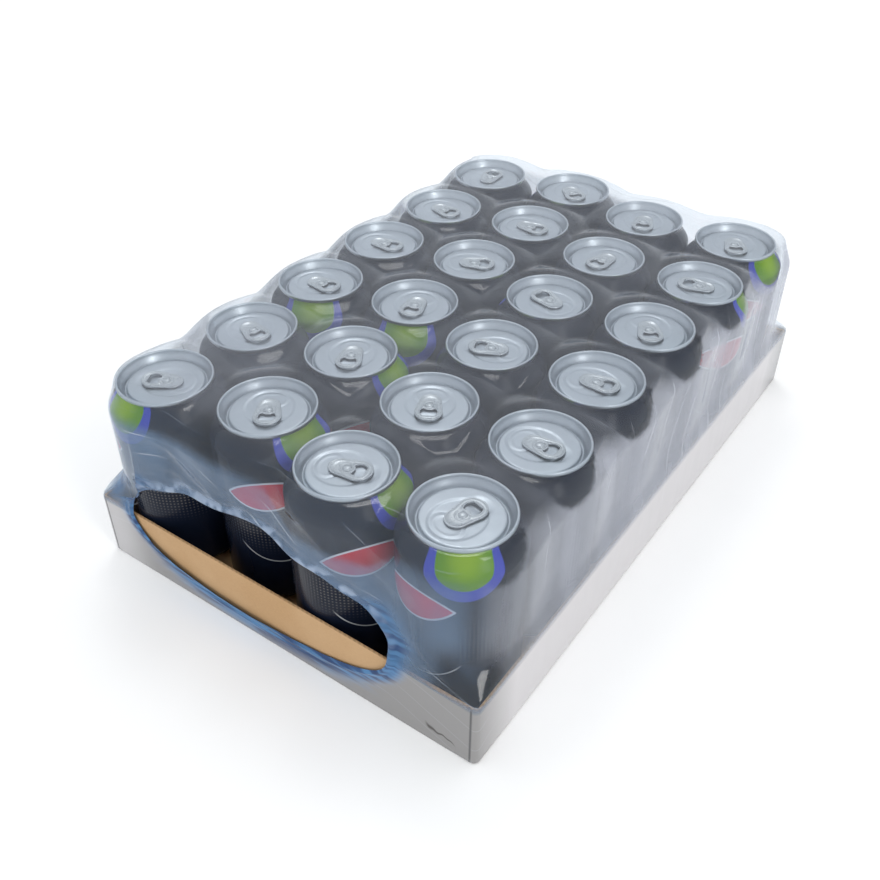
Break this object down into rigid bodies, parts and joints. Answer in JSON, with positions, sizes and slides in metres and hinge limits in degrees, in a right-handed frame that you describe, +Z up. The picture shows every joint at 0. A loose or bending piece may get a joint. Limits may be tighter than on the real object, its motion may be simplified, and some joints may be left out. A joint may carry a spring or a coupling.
{
  "type": "tray of canned drinks",
  "caption": "Shut pack of drink cans standing in rows in a low cardboard tray, held by a sleeve of clear shrink film with an oval opening at each end.",
  "frame": {"origin": "on the ground under the middle of the tray", "axes": "+Z up, +Y along the six rows from front to back, +X to the right across the four columns"},
  "size_m": [0.271, 0.4226, 0.1251],
  "materials": {
    "printed_wall": "glossy dark print on aluminium",
    "bare_metal": "bright stamped aluminium of the lids and tabs",
    "board": "plain brown corrugated board",
    "film": "clear shrink film with a bluish haze, creased at the ends"
  },
  "bodies": {
    "root": {"tray": "board", "film": "film", "can_1a": "printed_wall", "can_1b": "printed_wall", "can_1c": "printed_wall", "can_1d": "printed_wall", "can_2a": "printed_wall", "can_2b": "printed_wall", "can_2c": "printed_wall", "can_2d": "printed_wall", "can_3a": "printed_wall", "can_3b": "printed_wall", "can_3c": "printed_wall", "can_3d": "printed_wall", "can_4a": "printed_wall", "can_4b": "printed_wall", "can_4c": "printed_wall", "can_4d": "printed_wall", "can_5a": "printed_wall", "can_5b": "printed_wall", "can_5c": "printed_wall", "can_5d": "printed_wall", "can_6a": "printed_wall", "can_6b": "printed_wall", "can_6c": "printed_wall", "can_6d": "printed_wall", "tab_1a": "bare_metal", "tab_1b": "bare_metal", "tab_1c": "bare_metal", "tab_1d": "bare_metal", "tab_2a": "bare_metal", "tab_2b": "bare_metal", "tab_2c": "bare_metal", "tab_2d": "bare_metal", "tab_3a": "bare_metal", "tab_3b": "bare_metal", "tab_3c": "bare_metal", "tab_3d": "bare_metal", "tab_4a": "bare_metal", "tab_4b": "bare_metal", "tab_4c": "bare_metal", "tab_4d": "bare_metal", "tab_5a": "bare_metal", "tab_5b": "bare_metal", "tab_5c": "bare_metal", "tab_5d": "bare_metal", "tab_6a": "bare_metal", "tab_6b": "bare_metal", "tab_6c": "bare_metal", "tab_6d": "bare_metal"}
  },
  "joints": []
}
